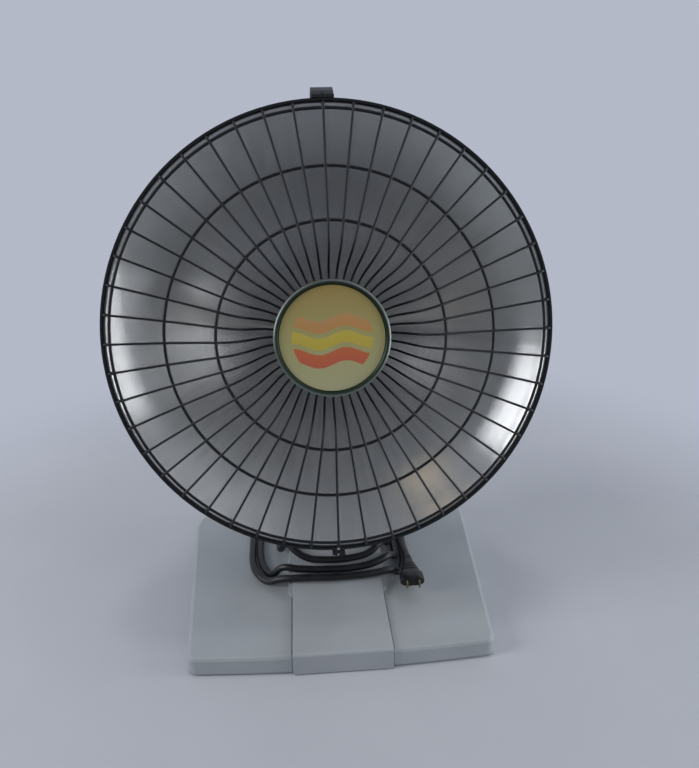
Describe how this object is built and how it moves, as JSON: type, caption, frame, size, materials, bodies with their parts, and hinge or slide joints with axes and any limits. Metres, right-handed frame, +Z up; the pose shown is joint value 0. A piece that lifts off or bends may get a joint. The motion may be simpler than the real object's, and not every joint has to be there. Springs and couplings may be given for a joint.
{
  "type": "parabolic heater",
  "caption": "Tilting parabolic radiant heater: spun reflector behind a domed radial wire guard with a round badge, on a moulded stand with its mains lead wound round the neck.",
  "frame": {"origin": "on the floor, below the middle of the heater without its mains lead", "axes": "+X to the right as seen by the heater's user, +Y to the back, +Z up; the reflector faces -Y"},
  "size_m": [0.406, 0.2864, 0.5153],
  "materials": {
    "black_plastic": "satin",
    "charcoal_paint": "satin",
    "bezel_metal": "satin",
    "badge_print": "printed",
    "zinc_steel": "zinc plated",
    "plate_steel": "plain",
    "grey_plastic": "satin",
    "charcoal_plastic": "satin",
    "cord_rubber": "satin",
    "element_wire": "oxidised",
    "ceramic": "unglazed",
    "brass": "bright",
    "fibre": "fibre",
    "reflector_aluminium": "satin",
    "foot_rubber": "matt",
    "sheet_steel": "zinc plated",
    "ivory_plastic": "satin"
  },
  "bodies": {
    "stand": {"alarm_buzzer": "black_plastic", "base_plate": "plate_steel", "base_screws": "zinc_steel", "base_shell": "grey_plastic", "cord_tie": "cord_rubber", "front_cover": "grey_plastic", "neck_rear_cover": "grey_plastic", "neck_screws": "zinc_steel", "neck_shell": "grey_plastic", "pivot_bolt": "zinc_steel", "pivot_nut": "zinc_steel", "plug_blades": "brass", "plug_body": "cord_rubber", "plunger_spring": "zinc_steel", "power_cord": "cord_rubber", "rubber_feet": "foot_rubber", "steel_upright": "sheet_steel", "strain_relief": "cord_rubber", "tip_switch_body": "black_plastic", "upright_bolts": "zinc_steel"},
    "plunger": {"tip_plunger": "ivory_plastic"},
    "dish": {"reflector": "reflector_aluminium", "back_shell": "charcoal_paint", "rear_cover": "charcoal_plastic", "cover_screws": "zinc_steel", "rim_band": "charcoal_paint", "rim_band_screw": "zinc_steel", "guard_rim_ring": "charcoal_paint", "guard_ring_outer": "charcoal_paint", "guard_ring_middle": "charcoal_paint", "guard_ring_inner": "charcoal_paint", "guard_spokes": "charcoal_paint", "guard_hub": "charcoal_paint", "badge_post": "zinc_steel", "badge_bezel": "bezel_metal", "badge_disc": "badge_print", "mounting_strap": "zinc_steel", "element_bracket": "zinc_steel", "element_core": "ceramic", "element_coil": "element_wire", "element_terminals": "brass", "element_leads": "ceramic", "terminal_block": "ceramic", "thermostat_body": "black_plastic", "thermal_cutoff": "zinc_steel", "carry_handle": "charcoal_plastic", "handle_screws": "zinc_steel", "tilt_bracket": "charcoal_paint", "bracket_spacers": "zinc_steel", "bracket_bolts": "zinc_steel", "friction_washers": "fibre"},
    "knob": {"thermostat_shaft": "zinc_steel", "thermostat_knob": "charcoal_plastic"}
  },
  "joints": [
    {"name": "dish_tilt", "type": "hinge", "parent": "stand", "child": "dish", "pos_m": [0, 0.084, 0.2777], "axis": [-1, 0, 0], "range_deg": [-11, 15]},
    {"name": "thermostat_turn", "type": "hinge", "parent": "dish", "child": "knob", "pos_m": [0, 0.08583, 0.35693], "axis": [0, 0.9799, -0.1994], "range_deg": [0, 270]},
    {"name": "tip_plunger_slide", "type": "slide", "parent": "stand", "child": "plunger", "axis": [0, 0, -1], "range_m": [0, 0.006], "stiffness_N_per_m": 60, "springref_m": 0.008, "deforming": ["plunger_spring"]}
  ]
}
